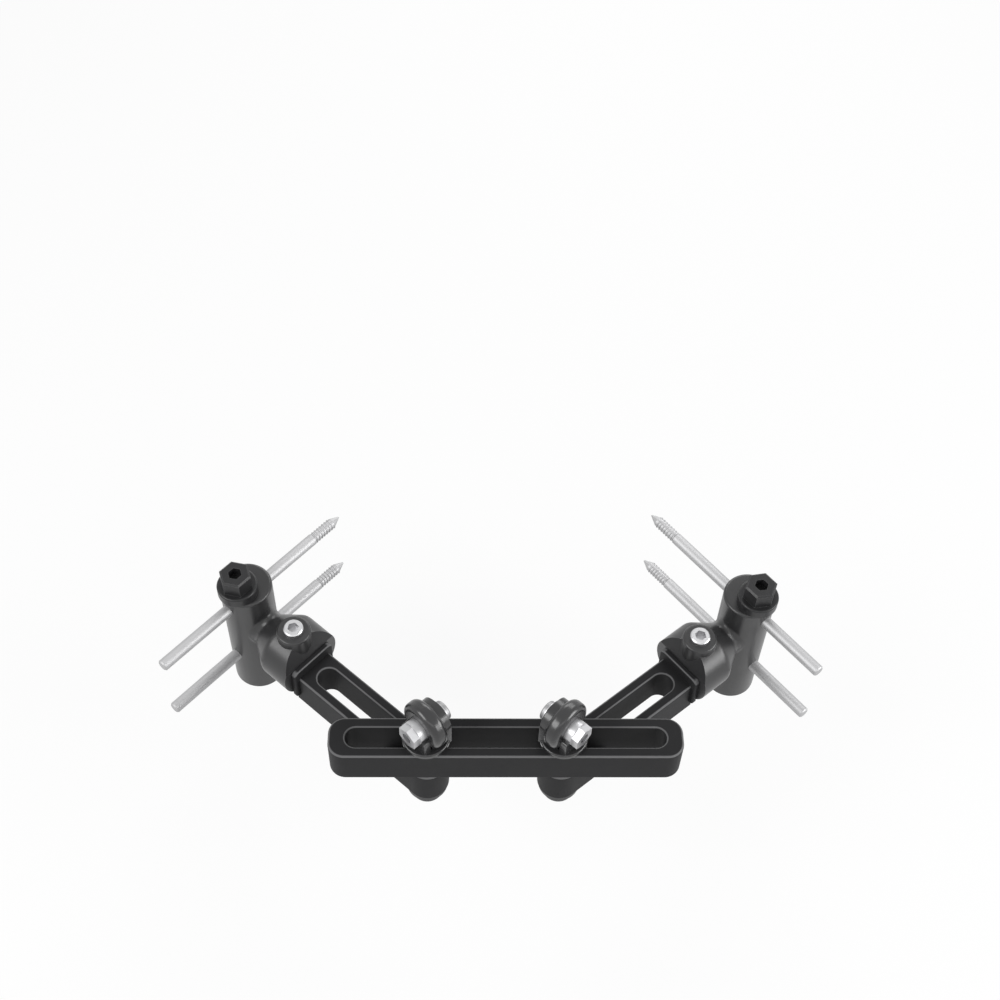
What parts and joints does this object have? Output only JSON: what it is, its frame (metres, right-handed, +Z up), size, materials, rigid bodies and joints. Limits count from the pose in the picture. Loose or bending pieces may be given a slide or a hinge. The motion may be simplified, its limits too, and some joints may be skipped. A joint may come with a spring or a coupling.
{
  "type": "external fixator",
  "caption": "External bone fixator: slotted bar with cam locks that hold slotted arms, each ending in a swivel clamp on bone pins; locks, arms, clamps and pins slide, swing or turn.",
  "frame": {"origin": "middle of the central bar's underside, on the middle of its slot, in millimetre-true row frame", "axes": "+X along the central bar to the right arm, +Y from the bar towards the pins' tips, +Z up, out of the bar's top face"},
  "size_m": [0.3219, 0.1431, 0.099],
  "materials": {
    "black_anodised": "satin black anodised",
    "black_steel": "black oxide",
    "steel": "turned and polished",
    "pin_steel": "ground and polished",
    "guide_polymer": "matt"
  },
  "bodies": {
    "bar": {"central_bar": "black_anodised"},
    "left_lock": {"left_lock_eyebolt": "black_anodised", "left_lock_saddle": "black_anodised", "left_foot_washer": "black_steel", "left_foot_nut": "black_steel"},
    "left_cam": {"left_lock_cam": "steel", "left_cam_ring": "black_steel"},
    "left_guide": {"left_slot_guide": "guide_polymer"},
    "left_arm": {"left_arm": "black_anodised", "left_swivel_spigot": "steel"},
    "left_clamp": {"left_clamp_body": "black_anodised", "left_pin_spacer": "steel"},
    "left_swivel_lock": {"left_swivel_cam": "steel"},
    "left_presser": {"left_upper_presser": "steel"},
    "left_bolt": {"left_clamp_bolt": "black_steel"},
    "left_upper_pin": {"left_upper_pin": "pin_steel"},
    "left_lower_pin": {"left_lower_pin": "pin_steel"},
    "right_lock": {"right_lock_eyebolt": "black_anodised", "right_lock_saddle": "black_anodised", "right_foot_washer": "black_steel", "right_foot_nut": "black_steel"},
    "right_cam": {"right_lock_cam": "steel", "right_cam_ring": "black_steel"},
    "right_guide": {"right_slot_guide": "guide_polymer"},
    "right_arm": {"right_arm": "black_anodised", "right_swivel_spigot": "steel"},
    "right_clamp": {"right_clamp_body": "black_anodised", "right_pin_spacer": "steel"},
    "right_swivel_lock": {"right_swivel_cam": "steel"},
    "right_presser": {"right_upper_presser": "steel"},
    "right_bolt": {"right_clamp_bolt": "black_steel"},
    "right_upper_pin": {"right_upper_pin": "pin_steel"},
    "right_lower_pin": {"right_lower_pin": "pin_steel"}
  },
  "joints": [
    {"name": "left_lock_slide", "type": "slide", "parent": "bar", "child": "left_lock", "axis": [-1, 0, 0], "range_m": [-0.012, 0.026]},
    {"name": "left_cam_turn", "type": "hinge", "parent": "left_lock", "child": "left_cam", "pos_m": [-0.0375, 0, 0.0345], "axis": [-0.7431, -0.6691, 0], "range_deg": [0, 150]},
    {"name": "left_arm_swing", "type": "hinge", "parent": "left_lock", "child": "left_guide", "pos_m": [-0.0375, 0, -0.011], "axis": [0, 0, -1], "range_deg": [-10, 12]},
    {"name": "left_arm_slide", "type": "slide", "parent": "left_guide", "child": "left_arm", "axis": [0.742, -0.6704, 0], "range_m": [0, 0.016]},
    {"name": "left_clamp_roll", "type": "hinge", "parent": "left_arm", "child": "left_clamp", "pos_m": [-0.09612, 0.05296, -0.0005], "axis": [-0.742, 0.6704, 0], "range_deg": [-25, 25]},
    {"name": "left_swivel_lock_turn", "type": "hinge", "parent": "left_clamp", "child": "left_swivel_lock", "pos_m": [-0.10331, 0.05947, 0.0201], "axis": [0, 0, 1], "range_deg": [0, 90]},
    {"name": "left_presser_lift", "type": "slide", "parent": "left_clamp", "child": "left_presser", "axis": [0, 0, 1], "range_m": [0, 0.00124]},
    {"name": "left_bolt_turn", "type": "hinge", "parent": "left_presser", "child": "left_bolt", "pos_m": [-0.13115, 0.07788, 0.027], "axis": [0, 0, 1], "range_deg": [0, 360]},
    {"name": "left_upper_pin_slide", "type": "slide", "parent": "left_clamp", "child": "left_upper_pin", "axis": [0.6704, 0.742, 0], "range_m": [-0.01, 0.01]},
    {"name": "left_lower_pin_slide", "type": "slide", "parent": "left_clamp", "child": "left_lower_pin", "axis": [0.6704, 0.742, 0], "range_m": [-0.01, 0.01]},
    {"name": "right_lock_slide", "type": "slide", "parent": "bar", "child": "right_lock", "axis": [1, 0, 0], "range_m": [-0.012, 0.026]},
    {"name": "right_cam_turn", "type": "hinge", "parent": "right_lock", "child": "right_cam", "pos_m": [0.0269, 0, 0.0345], "axis": [0.7431, -0.6691, 0], "range_deg": [0, 150]},
    {"name": "right_arm_swing", "type": "hinge", "parent": "right_lock", "child": "right_guide", "pos_m": [0.0269, 0, -0.011], "axis": [0, 0, 1], "range_deg": [-10, 12]},
    {"name": "right_arm_slide", "type": "slide", "parent": "right_guide", "child": "right_arm", "axis": [-0.7793, -0.6266, 0], "range_m": [0, 0.016]},
    {"name": "right_clamp_roll", "type": "hinge", "parent": "right_arm", "child": "right_clamp", "pos_m": [0.08847, 0.0495, -0.0005], "axis": [0.7793, 0.6266, 0], "range_deg": [-25, 25]},
    {"name": "right_swivel_lock_turn", "type": "hinge", "parent": "right_clamp", "child": "right_swivel_lock", "pos_m": [0.09603, 0.05558, 0.0201], "axis": [0, 0, 1], "range_deg": [0, 90]},
    {"name": "right_presser_lift", "type": "slide", "parent": "right_clamp", "child": "right_presser", "axis": [0, 0, 1], "range_m": [0, 0.00124]},
    {"name": "right_bolt_turn", "type": "hinge", "parent": "right_presser", "child": "right_bolt", "pos_m": [0.12488, 0.07236, 0.027], "axis": [0, 0, 1], "range_deg": [0, 360]},
    {"name": "right_upper_pin_slide", "type": "slide", "parent": "right_clamp", "child": "right_upper_pin", "axis": [-0.6266, 0.7793, 0], "range_m": [-0.01, 0.01]},
    {"name": "right_lower_pin_slide", "type": "slide", "parent": "right_clamp", "child": "right_lower_pin", "axis": [-0.6266, 0.7793, 0], "range_m": [-0.01, 0.01]}
  ],
  "couplings": [
    {"joint": "left_bolt_turn", "follows": "left_presser_lift", "rad_per_m": 5026.5},
    {"joint": "right_bolt_turn", "follows": "right_presser_lift", "rad_per_m": 5026.5}
  ]
}
